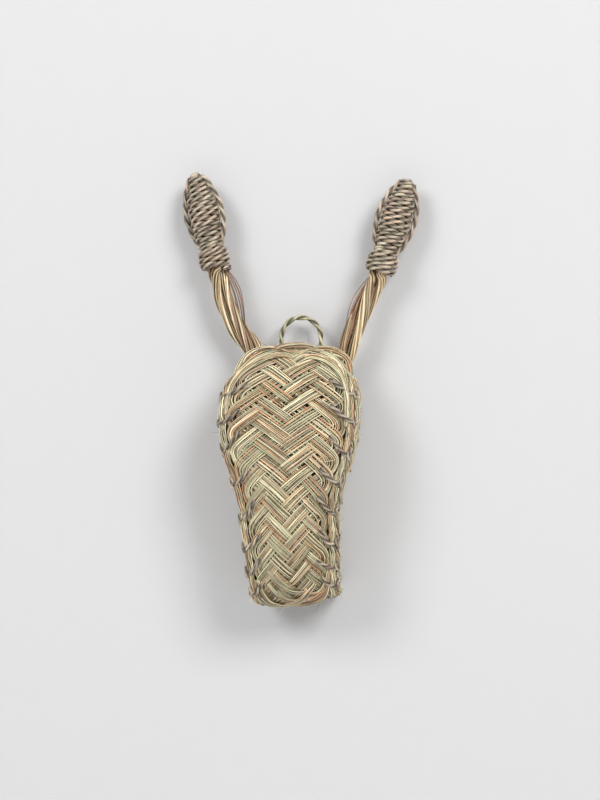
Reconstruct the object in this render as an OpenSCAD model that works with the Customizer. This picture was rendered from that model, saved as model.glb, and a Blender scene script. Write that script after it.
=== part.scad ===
// Plaited esparto-grass animal head for a wall: a hollow head of flat plaits sewn
// edge to edge with two-ply cord, two rope stalks with cord-wound tips, and a hanging loop.
// X is to the viewer's right, Y into the wall, Z up. The wall is the plane y = 0 and the
// origin is where the nail's axis meets it, level with the underside of the loop.

/* [Head] */
// Height of the head from the crown to the chin
head_h = 248; // [235:1:262]
// Width of the face plait at its widest
face_w = 117; // [110:1:120]
// Depth of the face in front of the wall
head_d = 93; // [88:1:100]
// How much the face plait bows out across its width
face_bow = 8; // [5:0.5:10]
// How far the hand-made face leans to the left at its widest
lean = 7; // [0:0.5:8]
// How much lower the left end of the chin is than the right
chin_drop = 8; // [0:1:8]
// How much each cheek plait swells sideways
cheek_swell = 4; // [2:0.5:5]
// How much each cheek plait draws in towards the wall
cheek_in = 7; // [4:0.5:8]
// Thickness of a plait, two strands deep
plait_t = 5; // [4:0.25:5.5]
// Clearance between neighbouring plaits
seam_gap = 0.6; // [0.4:0.1:1]

/* [Stitches] */
// Stitches down each front seam
front_stitches = 8; // [6:1:11]
// Stitches down each back seam
back_stitches = 8; // [5:1:9]
// Radius of the stitching cord
stitch_r = 1.9; // [1.5:0.1:2]

/* [Hanging loop] */
// Radius of the loop's two-ply cord
loop_r = 2.25; // [1.75:0.05:2.4]
// Half the distance between the loop's legs
loop_half_w = 19.75; // [17:0.25:21]
// Radius of the rolled hem that the loop turns on
hem_r = 4; // [3.5:0.1:4.3]
// Running clearance between the hem and the loop's eyes
eye_gap = 0.3; // [0.25:0.05:0.4]

/* [Stalks] */
// Radius of one ply of a stalk
ply_r = 5.4; // [5:0.1:5.5]
// Length over which a stalk's plies turn once
ply_lay = 180; // [150:5:240]

/* [Tips] */
// Radius of the winding cord
wind_r = 2.3; // [2:0.05:2.4]
// Length of the wound part of a tip
wind_l = 67; // [60:1:70]
// Greatest radius of the winding
wind_max = 14.7; // [13:0.1:15]

/* [Hidden] */

straw = "#b5ac84";
gold = "#c2ac7c";
cord = "#8f8674";
$fn = 48;

LEFT = -1;
RIGHT = 1;

crown_z = -32;   // top of the face plait
// Stations down the face plait's middle line, from the crown round the muzzle to the chin:
// share of head_d in front of the wall, share of head_h below the crown, share of half the
// width, and share of the lean.
FACE = [[0.30, 0.016, 0.51, 0.0], [0.40, 0.000, 0.63, 0.1], [0.60, 0.020, 0.85, 0.2],
        [0.79, 0.100, 0.96, 0.7], [0.91, 0.240, 1.02, 1.0], [0.98, 0.400, 0.93, 1.0],
        [1.00, 0.565, 0.72, 0.9], [0.98, 0.740, 0.66, 0.5], [0.89, 0.870, 0.63, 0.2],
        [0.71, 0.965, 0.59, 0.1], [0.47, 1.000, 0.55, 0.0], [0.24, 0.996, 0.55, 0.0],
        [0.10, 0.984, 0.55, 0.0]];
FACE_END = len(FACE) - 1;
CHEEK_START = 2.85;  // station of the cheeks' top edge, just below the stalks
CHEEK_TURN = 9;     // station where the cheeks' inner end stops running down the wall
cheek_top_z = -60;
cheek_low_z = -262;
back_top_z = -47;
back_low_z = -268;

// Catmull-Rom curve through a list of points; s counts points.
function blend4(a, b, c, d, t) =
    0.5 * (2*b + (c - a)*t + (2*a - 5*b + 4*c - d)*t*t + (3*b - 3*c + d - a)*t*t*t);
function along(list, s) =
    let (n = len(list) - 1, i = max(0, min(floor(s), n - 1)))
    blend4(list[max(i - 1, 0)], list[i], list[i + 1], list[min(i + 2, n)], s - i);
function unit(v) = v / norm(v);

// The face plait: middle line in the YZ plane, its lean, outward normal and half width.
function face_yz(s) =
    let (p = along(FACE, s)) [-head_d * p[0], crown_z - head_h * p[1]];
function face_x(s) = -lean * along(FACE, s)[3];
function face_half(s) = face_w / 2 * along(FACE, s)[2];
function face_tilt(s) = chin_drop / 2 * max(0, min(1, (s - 6) / 3));
function face_slope(s) =
    unit(face_yz(min(s + 0.05, FACE_END)) - face_yz(max(s - 0.05, 0)));
function face_normal(s) = let (t = face_slope(s)) [t[1], -t[0]];
// Point on the face plait: u from -1 to 1 across it, depth below its outer side.
function face_point(s, u, depth) =
    let (q = face_yz(s) - face_normal(s) * (face_bow * u * u + depth))
    [face_x(s) + u * face_half(s), q[0], q[1] + u * face_tilt(s)];

// Where the cheek's inner end lies on the wall for each station.
function wall_z(s) =
    let (top = face_yz(CHEEK_START)[1], low = face_yz(CHEEK_TURN)[1])
    s > CHEEK_TURN ? cheek_low_z - (s - CHEEK_TURN)
    : cheek_top_z + (face_yz(s)[1] - top) / (low - top) * (cheek_low_z - cheek_top_z);
// How far a cheek draws in by the time it meets the back plait, none under the chin,
// and half the width of the head there.
function draw_in(s) = cheek_in * max(0, min(1, (10 - s) / 3));
function wall_half(s) = face_half(s) + seam_gap + plait_t - draw_in(s);
// Point on a cheek plait: t from 0 at the face to 1 at the wall.
function cheek_point(side, s, t, depth) =
    let (edge = face_yz(s) - face_normal(s) * face_bow + [0, side * face_tilt(s)],
         foot = [-plait_t - seam_gap, wall_z(s)],
         q = edge * (1 - t) + foot * t,
         swell = cheek_swell * 4 * sqrt(t) * (1 - sqrt(t)),
         x = wall_half(s) + draw_in(s) * (1 - t) + swell)
    [face_x(s) * (1 - t) + side * (x - depth), q[0], q[1]];

// Closed solid between two grids of points, rows by columns, of the same size.
module sheet(outer, inner) {
    rows = len(outer);
    cols = len(outer[0]);
    count = rows * cols;
    skin = [for (i = [0 : rows - 2], j = [0 : cols - 2])
        [i*cols + j, i*cols + j + 1, (i + 1)*cols + j + 1, (i + 1)*cols + j]];
    lining = [for (f = skin) [for (k = [3 : -1 : 0]) f[k] + count]];
    rim = concat([for (j = [0 : cols - 1]) j], [for (i = [1 : rows - 1]) i*cols + cols - 1],
                 [for (j = [cols - 2 : -1 : 0]) (rows - 1)*cols + j],
                 [for (i = [rows - 2 : -1 : 1]) i*cols]);
    edge = [for (k = [0 : len(rim) - 1])
        let (a = rim[k], b = rim[(k + 1) % len(rim)]) [b, a, a + count, b + count]];
    polyhedron([for (row = outer) each row, for (row = inner) each row],
               concat(skin, lining, edge), convexity = 10);
}

// Round bar swept along points with a radius at each.
module sweep(points, radii, sides = 12) {
    n = len(points);
    rings = [for (i = [0 : n - 1])
        let (t = unit(points[min(i + 1, n - 1)] - points[max(i - 1, 0)]),
             a = unit(cross([0, 1, 0], t)),
             b = cross(t, a))
        [for (k = [0 : sides - 1])
            points[i] + radii[i] * (cos(360*k/sides) * a + sin(360*k/sides) * b)]];
    wall = [for (i = [0 : n - 2], k = [0 : sides - 1])
        let (m = (k + 1) % sides)
        [i*sides + k, (i + 1)*sides + k, (i + 1)*sides + m, i*sides + m]];
    caps = [[for (k = [0 : sides - 1]) k], [for (k = [sides - 1 : -1 : 0]) (n - 1)*sides + k]];
    polyhedron([for (r = rings) each r], concat(wall, caps), convexity = 10);
}

module ring(big, small) {
    rotate_extrude() translate([big, 0]) circle(small);
}

// ---- Head ----

module face_plait() {
    across = 10;
    steps = 48;
    function grid(depth) = [for (i = [0 : steps])
        [for (j = [0 : across]) face_point(FACE_END * i / steps, 2*j/across - 1, depth)]];
    color(straw) sheet(grid(0), grid(plait_t));
}

module cheek_plait(side) {
    across = 10;
    steps = 36;
    function grid(depth) = [for (i = [0 : steps])
        let (s = CHEEK_START + (FACE_END - CHEEK_START) * i / steps)
        [for (j = [0 : across]) cheek_point(side, s, j / across, depth)]];
    color(straw)
        if (side == RIGHT) sheet(grid(0), grid(plait_t));
        else sheet(grid(plait_t), grid(0));
}

module left_cheek_plait() { cheek_plait(LEFT); }
module right_cheek_plait() { cheek_plait(RIGHT); }

// Flat against the wall, its back face on y = 0.
module back_plait() {
    steps = 24;
    side = [for (i = [0 : steps])
        let (s = CHEEK_START + (CHEEK_TURN - CHEEK_START) * i / steps)
        [wall_half(s), wall_z(s)]];
    half = concat([[loop_half_w + 24, back_top_z]], side, [[26, back_low_z]]);
    outline = concat(half, [for (i = [len(half) - 1 : -1 : 0]) [-half[i][0], half[i][1]]]);
    color(straw) rotate([90, 0, 0]) linear_extrude(plait_t) polygon(outline);
}

// Bundle that finishes the crown's front edge.
crown_roll_r = 4.5;
function crown_line(u) = face_point(0.75 + 0.95 * u * u, 0.97 * u, -crown_roll_r - 0.8);
module crown_roll() {
    steps = 20;
    points = [for (i = [0 : steps]) crown_line(2*i/steps - 1)];
    radii = [for (i = [0 : steps]) crown_roll_r * (1 - 0.35 * pow(2*i/steps - 1, 4))];
    color(straw) sweep(points, radii);
}

// ---- Back hem and the loop that turns on it ----

hem_y = -14.5;
hem_z = -42;
hem_half_l = 28.5;
module back_hem() {
    color(straw) translate([-hem_half_l, hem_y, hem_z]) rotate([0, 90, 0])
        cylinder(r = hem_r, h = 2 * hem_half_l);
}

eye_r = hem_r + eye_gap + loop_r;
arch_z = loop_r - loop_half_w;  // centre of the arch, whose underside touches z = 0
module hanging_loop() {
    color(straw) translate([0, hem_y, 0]) {
        translate([0, 0, arch_z]) rotate([90, 0, 0]) rotate_extrude(angle = 180)
            translate([loop_half_w, 0]) circle(loop_r);
        for (side = [LEFT, RIGHT]) translate([side * loop_half_w, 0, 0]) {
            leg_foot = hem_z + eye_r;
            translate([0, 0, leg_foot]) cylinder(r = loop_r, h = arch_z - leg_foot);
            translate([0, 0, hem_z]) rotate([0, 90, 0]) ring(eye_r, loop_r);
        }
    }
}

// ---- Stitches ----

// One stitch round a seam, its ring standing across the seam's direction in the YZ plane.
module seam_stitch(place, slope, big) {
    translate(place) rotate([-atan2(slope[0], slope[1]), 0, 0]) ring(big, stitch_r);
}

module front_seam(side) {
    first = 3.4;
    last = 8.6;
    color(cord) for (i = [0 : front_stitches - 1]) {
        s = first + (last - first) * i / (front_stitches - 1);
        seam_stitch(face_point(s, side, 4.5) + [side * seam_gap / 2, 0, 0], face_slope(s), 7);
    }
}
module left_front_stitches() { front_seam(LEFT); }
module right_front_stitches() { front_seam(RIGHT); }

module back_seam(side) {
    first = 3;
    last = 8.7;
    color(cord) for (i = [0 : back_stitches - 1]) {
        s = first + (last - first) * i / (back_stitches - 1);
        translate([side * (wall_half(s) - 4.4), -8.4, wall_z(s)]) ring(6, stitch_r - 0.1);
    }
}
module left_back_stitches() { back_seam(LEFT); }
module right_back_stitches() { back_seam(RIGHT); }

module hem_stitches() {
    color(cord) for (x = [-26, -9, 9, 26])
        translate([x, hem_y + 5.5, hem_z - 2.5]) rotate([0, 90, 0]) ring(6.6, 1.7);
}

module crown_stitches() {
    color(cord) for (u = [-0.8, -0.4, 0, 0.4, 0.8]) {
        p = crown_line(u);
        translate([p[0], p[1], p[2] - 3.6]) rotate([0, 90, 0]) ring(6.6, 1.7);
    }
}

module chin_stitches() {
    color(cord) for (x = [-24, -8, 8, 24])
        translate([x, -9.2, -270 + chin_drop / 2 * x / 32]) rotate([0, 90, 0]) ring(6.5, 1.7);
}

// ---- Stalks and tips ----

// Where each tip stands: foot of its collar, and its top.
TIP_FOOT = [[-84.5, -22, 52], [78.5, -22, 46]];
TIP_TOP = [[-106, -20, 147], [107.5, -20, 140]];
// Each stalk's middle line from its root inside the head to just below the collar.
STALK = [
    [[-34, -24, -104], [-34, -24, -76], [-38, -24, -52], [-48, -24, -30], [-62, -23, -8], [-76, -22, 20]],
    [[34, -24, -104], [34, -24, -76], [37, -24, -52], [46, -24, -30], [58, -23, -2], [68, -22, 23]]];
collar_l = 18.6;

function which(side) = side == LEFT ? 0 : 1;
function tip_axis(side) = unit(TIP_TOP[which(side)] - TIP_FOOT[which(side)]);
function stalk_line(side) =
    concat(STALK[which(side)],
           [TIP_FOOT[which(side)] - 8 * tip_axis(side), TIP_FOOT[which(side)],
            TIP_FOOT[which(side)] + (collar_l - 1) * tip_axis(side)]);

// Three plies lie round the middle line and narrow towards the collar.
module stalk_ply(side, k) {
    line = stalk_line(side);
    steps = 30;
    last = len(line) - 1;
    span = 175;
    function taper(i) = 1 - 0.18 * pow(i / steps, 2);
    middle = [for (i = [0 : steps]) along(line, last * i / steps)];
    points = [for (i = [0 : steps])
        let (t = unit(middle[min(i + 1, steps)] - middle[max(i - 1, 0)]),
             a = unit(cross([0, 1, 0], t)),
             b = cross(t, a),
             turn = 120 * k - side * 360 * span / ply_lay * i / steps)
        middle[i] + (ply_r + 0.4) * 2 / sqrt(3) * taper(i) * (cos(turn) * a + sin(turn) * b)];
    color(gold) sweep(points, [for (i = [0 : steps]) ply_r * taper(i)]);
}
module left_stalk_ply_1() { stalk_ply(LEFT, 1); }
module left_stalk_ply_2() { stalk_ply(LEFT, 2); }
module left_stalk_ply_3() { stalk_ply(LEFT, 3); }
module right_stalk_ply_1() { stalk_ply(RIGHT, 1); }
module right_stalk_ply_2() { stalk_ply(RIGHT, 2); }
module right_stalk_ply_3() { stalk_ply(RIGHT, 3); }

// Two cord rings that tie a stalk's root to the back plait.
module stalk_lashing(side) {
    bend = 14.05;
    lash_r = 1.8;
    root_y = -24;
    back_y = -2.6;
    color(cord) for (z = [-75, -85]) translate([side * 34, 0, z]) {
        translate([0, root_y, 0]) rotate([0, 0, 180]) rotate_extrude(angle = 180)
            translate([bend, 0]) circle(lash_r);
        for (x = [-bend, bend]) {
            translate([x, root_y, 0]) rotate([-90, 0, 0]) cylinder(r = lash_r, h = back_y - root_y);
            translate([x, back_y, 0]) sphere(lash_r);
        }
        translate([-bend, back_y, 0]) rotate([0, 90, 0]) cylinder(r = lash_r, h = 2 * bend);
    }
}
module left_stalk_lashing() { stalk_lashing(LEFT); }
module right_stalk_lashing() { stalk_lashing(RIGHT); }

// Puts a tip's own frame, Z along its axis, in its place.
module at_tip(side) {
    a = tip_axis(side);
    translate(TIP_FOOT[which(side)]) rotate([0, acos(a[2]), atan2(a[1], a[0])]) children();
}

wind_start = collar_l + 3;
wind_rows = 15;
row_pitch = wind_l / (wind_rows - 1);
// Outer radius of the winding at a share q of its length.
function wind_out(q) = wind_max - (wind_max - 11.4) * pow(1 - min(q, 0.52) / 0.52, 2)
    - (wind_max - 6.6) * pow((max(q, 0.52) - 0.52) / 0.48, 2);

module tip_core(side) {
    steps = 12;
    gap = 1;
    profile = [for (i = [0 : steps]) let (q = i / steps)
        [wind_out(q) - 2*wind_r - gap, wind_start + wind_l * q]];
    color(gold) at_tip(side) rotate_extrude()
        polygon(concat([[0, wind_start]], profile, [[0, wind_start + wind_l]]));
}
module left_tip_core() { tip_core(LEFT); }
module right_tip_core() { tip_core(RIGHT); }

// Rows of cord that lie on each other, as one scalloped sleeve.
module tip_winding(side) {
    color(cord) at_tip(side) rotate_extrude() for (i = [0 : wind_rows - 1])
        translate([wind_out(i / (wind_rows - 1)) - wind_r, wind_start + row_pitch * i])
            circle(wind_r + 0.5);
}
module left_tip_winding() { tip_winding(LEFT); }
module right_tip_winding() { tip_winding(RIGHT); }

module tip_collar(side) {
    rows = 4;
    pitch = (collar_l - 2*wind_r) / (rows - 1);
    color(cord) at_tip(side) rotate_extrude() for (i = [0 : rows - 1])
        translate([12.7, wind_r + pitch * i]) circle(wind_r + 0.1);
}
module left_tip_collar() { tip_collar(LEFT); }
module right_tip_collar() { tip_collar(RIGHT); }

// Two cords that run bowed from the collar to the knob, one each side of the winding.
module tip_side_cords(side) {
    bow_r = 65;
    reach = 18.7;
    low = -31;
    high = 36;
    middle = wind_start + 33;
    color(cord) at_tip(side) for (turn = [0, 180]) rotate([0, 0, turn])
        translate([reach - bow_r, 0, middle]) rotate([90, 0, 0])
            rotate([0, 0, low]) rotate_extrude(angle = high - low)
                translate([bow_r, 0]) circle(wind_r);
}
module left_tip_side_cords() { tip_side_cords(LEFT); }
module right_tip_side_cords() { tip_side_cords(RIGHT); }

module tip_knob(side) {
    knob_r = 6.4;
    foot = wind_start + wind_l + wind_r + 0.6;
    color(cord) at_tip(side) translate([0, 0, foot]) intersection() {
        sphere(knob_r);
        cylinder(r = 2 * knob_r, h = 2 * knob_r);
    }
}
module left_tip_knob() { tip_knob(LEFT); }
module right_tip_knob() { tip_knob(RIGHT); }

face_plait();
left_cheek_plait();
right_cheek_plait();
back_plait();
crown_roll();
back_hem();
hanging_loop();
left_front_stitches();
right_front_stitches();
left_back_stitches();
right_back_stitches();
hem_stitches();
crown_stitches();
chin_stitches();
left_stalk_ply_1();
left_stalk_ply_2();
left_stalk_ply_3();
right_stalk_ply_1();
right_stalk_ply_2();
right_stalk_ply_3();
left_stalk_lashing();
right_stalk_lashing();
left_tip_core();
right_tip_core();
left_tip_collar();
right_tip_collar();
left_tip_winding();
right_tip_winding();
left_tip_side_cords();
right_tip_side_cords();
left_tip_knob();
right_tip_knob();
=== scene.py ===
"""A wall-hung animal head plaited from esparto grass, with cord-wound tips on two rope stalks.

Shapes are worked out in millimetres in the CAD's own frame (X to the viewer's right, Y into the
wall, Z up, the wall at y = 0) and turned into metres when each mesh is made.
"""
import math

import bpy
import numpy as np
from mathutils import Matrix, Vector


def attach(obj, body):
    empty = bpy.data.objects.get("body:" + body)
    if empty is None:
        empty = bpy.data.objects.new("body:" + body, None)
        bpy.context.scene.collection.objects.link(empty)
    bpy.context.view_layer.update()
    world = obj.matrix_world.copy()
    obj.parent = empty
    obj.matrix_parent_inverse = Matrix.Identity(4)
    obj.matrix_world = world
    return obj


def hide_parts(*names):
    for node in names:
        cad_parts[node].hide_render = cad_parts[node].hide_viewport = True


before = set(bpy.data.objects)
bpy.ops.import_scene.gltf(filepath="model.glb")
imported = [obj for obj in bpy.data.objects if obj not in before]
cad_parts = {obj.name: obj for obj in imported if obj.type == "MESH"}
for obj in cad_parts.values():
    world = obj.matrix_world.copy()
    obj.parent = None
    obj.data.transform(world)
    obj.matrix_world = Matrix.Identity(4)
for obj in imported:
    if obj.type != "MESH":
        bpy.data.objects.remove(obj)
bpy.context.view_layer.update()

MM = 0.001
LEFT, RIGHT = -1, 1
SIDE_NAMES = {LEFT: "left", RIGHT: "right"}


# ---- Camera, first: a little from the viewer's right and nearly level ----

CAMERA_AZIMUTH, CAMERA_ELEVATION = math.radians(7), math.radians(1)
CAMERA_DISTANCE, SEEN_HEIGHT = 2.2, 0.8    # metres; how far off, and how much fits in height
CAMERA_TARGET = (-0.003, 0, -0.08)


def make_camera():
    data = bpy.data.cameras.new("camera")
    data.sensor_width = 36
    data.lens = data.sensor_width * CAMERA_DISTANCE / SEEN_HEIGHT
    camera = bpy.data.objects.new("camera", data)
    bpy.context.scene.collection.objects.link(camera)
    away = Vector((math.sin(CAMERA_AZIMUTH) * math.cos(CAMERA_ELEVATION),
                   -math.cos(CAMERA_AZIMUTH) * math.cos(CAMERA_ELEVATION),
                   math.sin(CAMERA_ELEVATION)))
    camera.location = Vector(CAMERA_TARGET) + CAMERA_DISTANCE * away
    camera.rotation_euler = (-away).to_track_quat("-Z", "Y").to_euler()
    bpy.context.scene.camera = camera


make_camera()


# ---- The head's surfaces: the same sizes and stations as the CAD model ----

HEAD_H, FACE_W, HEAD_D = 248, 117, 93
FACE_BOW, PLAIT_T, SEAM_GAP = 8, 5, 0.6
LEAN = 7                        # how far the face's middle line bows to the left at the brow
CHIN_DROP = 8                   # how much lower the chin's left corner is than its right
CHEEK_SWELL, CHEEK_IN = 4, 7    # how far the cheeks bulge, and draw in at the wall
CROWN_Z = -32
# Down the face's middle line: share of the depth, of the height, of half the width, of the lean.
FACE = np.array([
    (0.30, 0.016, 0.51, 0.0), (0.40, 0.000, 0.63, 0.1), (0.60, 0.020, 0.85, 0.2),
    (0.79, 0.100, 0.96, 0.7), (0.91, 0.240, 1.02, 1.0), (0.98, 0.400, 0.93, 1.0),
    (1.00, 0.565, 0.72, 0.9), (0.98, 0.740, 0.66, 0.5), (0.89, 0.870, 0.63, 0.2),
    (0.71, 0.965, 0.59, 0.1), (0.47, 1.000, 0.55, 0.0), (0.24, 0.996, 0.55, 0.0),
    (0.10, 0.984, 0.55, 0.0)])
FACE_END = len(FACE) - 1
CHEEK_START, CHEEK_TURN = 2.85, 9
CHEEK_TOP_Z, CHEEK_LOW_Z = -60, -262
BACK_TOP_Z, BACK_LOW_Z = -47, -268


def catmull_rom(points, s):
    """Smooth curve through the points, at the places s counted in points."""
    points, s = np.asarray(points, float), np.asarray(s, float)
    n = len(points) - 1
    i = np.clip(np.floor(s).astype(int), 0, n - 1)
    t = (s - i)[..., None]
    a, b = points[np.maximum(i - 1, 0)], points[i]
    c, d = points[i + 1], points[np.minimum(i + 2, n)]
    return 0.5 * (2*b + (c - a)*t + (2*a - 5*b + 4*c - d)*t*t + (3*b - 3*c + d - a)*t*t*t)


def unit(a):
    return a / np.linalg.norm(a, axis=-1, keepdims=True)


def face_yz(s):
    line = catmull_rom(FACE, s)
    return np.stack([-HEAD_D * line[..., 0], CROWN_Z - HEAD_H * line[..., 1]], -1)


def face_half(s):
    return FACE_W / 2 * catmull_rom(FACE, s)[..., 2]


def face_x(s):
    return -LEAN * catmull_rom(FACE, s)[..., 3]


def face_tilt(s):
    return CHIN_DROP / 2 * np.clip((np.asarray(s) - 6) / 3, 0, 1)


def face_normal(s):
    slope = unit(face_yz(np.minimum(s + 0.05, FACE_END)) - face_yz(np.maximum(s - 0.05, 0)))
    return np.stack([slope[..., 1], -slope[..., 0]], -1)


def bow(s):
    """How far the face's edges lie behind its middle; the muzzle is flatter than the brow."""
    return FACE_BOW * (1 - 0.7 * np.clip((np.asarray(s) - 7.2) / 2, 0, 1))


def on_face(u, s, depth):
    """Point of the face plait: u from -1 to 1 across, depth in millimetres below its outer side."""
    u, s, depth = np.broadcast_arrays(u, s, depth)
    yz = face_yz(s) - face_normal(s) * (bow(s) * u * u + depth)[..., None]
    return np.stack([face_x(s) + u * face_half(s), yz[..., 0], yz[..., 1] + u * face_tilt(s)], -1)


def wall_z(s):
    """Height at which a cheek's station meets the wall."""
    top, low = face_yz(np.array([CHEEK_START, CHEEK_TURN]))[:, 1]
    down = CHEEK_TOP_Z + (face_yz(s)[..., 1] - top) / (low - top) * (CHEEK_LOW_Z - CHEEK_TOP_Z)
    return np.where(s > CHEEK_TURN, CHEEK_LOW_Z - (s - CHEEK_TURN), down)


def draw_in(s):
    """How much narrower the head is at the wall than at the face; nothing at the chin."""
    return CHEEK_IN * np.clip((10 - s) / 3, 0, 1)


def wall_half(s):
    return face_half(s) + SEAM_GAP + PLAIT_T - draw_in(s)


def on_cheek(side, s, t, depth):
    """Point of a cheek plait: t from 0 at the face to 1 at the wall."""
    s, t, depth = np.broadcast_arrays(np.asarray(s, float), np.asarray(t, float), depth)
    edge = face_yz(s) - face_normal(s) * bow(s)[..., None]
    edge[..., 1] += side * face_tilt(s)
    foot = np.stack([np.full(s.shape, -PLAIT_T - SEAM_GAP), wall_z(s)], -1)
    yz = edge * (1 - t)[..., None] + foot * t[..., None]
    root = np.sqrt(np.clip(t, 0, 1))
    x = wall_half(s) + draw_in(s) * (1 - t) + CHEEK_SWELL * 4 * root * (1 - root)
    return np.stack([face_x(s) * (1 - t) + side * (x - depth), yz[..., 0], yz[..., 1]], -1)


def by_length(point, first, last):
    """The length of a line over its stations, and the function from length to station."""
    s = np.linspace(first, last, 600)
    steps = np.linalg.norm(np.diff(point(s), axis=0), axis=1)
    run = np.concatenate([[0], np.cumsum(steps)])
    return run[-1], lambda v: np.interp(v, run, s)


# ---- Colour ----

def linear(red, green, blue):
    """A colour given as 0 to 255 in sRGB, as the renderer's linear values."""
    c = np.array([red, green, blue]) / 255
    return np.where(c <= 0.04045, c / 12.92, ((c + 0.055) / 1.055) ** 2.4)


# Each palette is a list of blade colours with their shares.
PLAIT_TONES = [((196, 189, 154), 0.33), ((222, 209, 176), 0.21), ((176, 169, 134), 0.17),
               ((208, 164, 122), 0.10), ((184, 148, 118), 0.12), ((132, 114, 82), 0.07)]
STALK_TONES = [((202, 178, 140), 0.40), ((222, 203, 168), 0.20), ((172, 149, 112), 0.18),
               ((148, 108, 80), 0.14), ((162, 146, 114), 0.08)]
TIP_TONES = [((174, 158, 138), 0.50), ((170, 160, 137), 0.25), ((172, 150, 129), 0.25)]
STITCH_TONES = [((160, 146, 128), 0.5), ((178, 164, 144), 0.3), ((136, 120, 104), 0.2)]
LOOP_TONES = [((176, 172, 138), 0.6), ((194, 186, 154), 0.4)]
BROWN_TONES = [((124, 90, 68), 0.6), ((150, 116, 88), 0.4)]
DARKEST, LIGHTEST = 0.66, 1.26    # how much a blade's tone can differ from its palette's


def pick_tones(palette, shape, rng):
    colours = np.array([linear(*c) for c, _ in palette])
    shares = np.array([share for _, share in palette])
    tones = colours[rng.choice(len(palette), size=shape, p=shares / shares.sum())]
    return tones * rng.uniform(DARKEST, LIGHTEST, size=tuple(np.atleast_1d(shape)) + (1,))


def grass_material(name, streaks, stain, bump):
    """Dry grass: the blade's own tone with the painted shade and painted light that its tubes
    carry, streaks along it, brown stains and a satin skin.
    """
    material = bpy.data.materials.new(name)
    material.use_nodes = True
    nodes, links = material.node_tree.nodes, material.node_tree.links
    shader = nodes["Principled BSDF"]
    tone = nodes.new("ShaderNodeAttribute")
    tone.attribute_name = "tone"
    grain = nodes.new("ShaderNodeAttribute")
    grain.attribute_name = "grain"

    def noise(stretch, scale, detail):
        mapping = nodes.new("ShaderNodeMapping")
        mapping.inputs["Scale"].default_value = stretch
        texture = nodes.new("ShaderNodeTexNoise")
        texture.inputs["Scale"].default_value = scale
        texture.inputs["Detail"].default_value = detail
        links.new(grain.outputs["Vector"], mapping.inputs["Vector"])
        links.new(mapping.outputs["Vector"], texture.inputs["Vector"])
        return texture.outputs["Fac"]

    def ramp(value, low, high, dark, light):
        node = nodes.new("ShaderNodeMapRange")
        node.inputs["From Min"].default_value = low
        node.inputs["From Max"].default_value = high
        node.inputs["To Min"].default_value = dark
        node.inputs["To Max"].default_value = light
        links.new(value, node.inputs["Value"])
        return node.outputs["Result"]

    fibre = noise((1, 1, 0.035), streaks, 3)
    patch = noise((1, 1, 0.6), 0.12, 4)
    shade = nodes.new("ShaderNodeMix")
    shade.data_type = "RGBA"
    shade.blend_type = "MULTIPLY"
    shade.inputs["Factor"].default_value = 1
    links.new(tone.outputs["Color"], shade.inputs[6])
    grey = nodes.new("ShaderNodeCombineColor")
    streak = ramp(fibre, 0.32, 0.68, 0.55, 1.3)
    for channel in range(3):
        links.new(streak, grey.inputs[channel])
    links.new(grey.outputs["Color"], shade.inputs[7])
    stained = nodes.new("ShaderNodeMix")
    stained.data_type = "RGBA"
    stained.blend_type = "MIX"
    links.new(ramp(patch, 0.56, 0.74, 0, 0.55), stained.inputs["Factor"])
    links.new(shade.outputs[2], stained.inputs[6])
    stained.inputs[7].default_value = (*linear(*stain), 1)
    links.new(stained.outputs[2], shader.inputs["Base Color"])
    links.new(ramp(fibre, 0.25, 0.75, 0.62, 0.38), shader.inputs["Roughness"])
    relief = nodes.new("ShaderNodeBump")
    relief.inputs["Strength"].default_value = bump
    relief.inputs["Distance"].default_value = 0.0002
    links.new(fibre, relief.inputs["Height"])
    links.new(relief.outputs["Normal"], shader.inputs["Normal"])
    return material


PLAIT = grass_material("plait_straw", 1.6, (150, 116, 84), 0.5)
STALK = grass_material("stalk_straw", 1.6, (152, 112, 80), 0.5)
CORD = grass_material("stitch_cord", 2.2, (112, 100, 88), 0.9)
TIP = grass_material("tip_cord", 2.2, (128, 112, 96), 0.9)
LOOP = grass_material("loop_cord", 2.2, (140, 132, 104), 0.9)


# ---- Tubes: every blade and ply is a closed tube along its own line ----

def frames(lines, ups):
    """Unit vectors across and out of each line, square to it."""
    along = unit(np.gradient(lines, axis=1))
    across = unit(np.cross(along, ups))
    return along, across, np.cross(across, along)


CAP_STRIP = 0.01    # share of a strip's height that its end cap takes up
PAINTED_TOP_LIGHT = 1.25    # painted light: how light a tube is painted along its top, where its own tone is 1


def lay_out(mesh, count, rings, sides):
    """Texture layout: one upright strip for each tube, with its faces in the mesh's order."""
    tube, ring, side = np.meshgrid(np.arange(count), np.arange(rings - 1), np.arange(sides),
                                   indexing="ij")
    left, right = (tube + side / sides) / count, (tube + (side + 1) / sides) / count
    low, high = (CAP_STRIP + (1 - 2 * CAP_STRIP) * r / (rings - 1) for r in (ring, ring + 1))
    quads = np.stack([left, low, right, low, right, high, left, high], -1)
    left, right = left[:, 0], right[:, 0]
    middle, start, end = (left + right) / 2, np.zeros_like(left), np.ones_like(left)
    first = np.stack([middle, start, right, start + CAP_STRIP, left, start + CAP_STRIP], -1)
    last = np.stack([middle, end, left, end - CAP_STRIP, right, end - CAP_STRIP], -1)
    corners = np.concatenate([quads.ravel(), first.ravel(), last.ravel()])
    mesh.uv_layers.new(name="OFBake").data.foreach_set("uv", corners)


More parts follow.
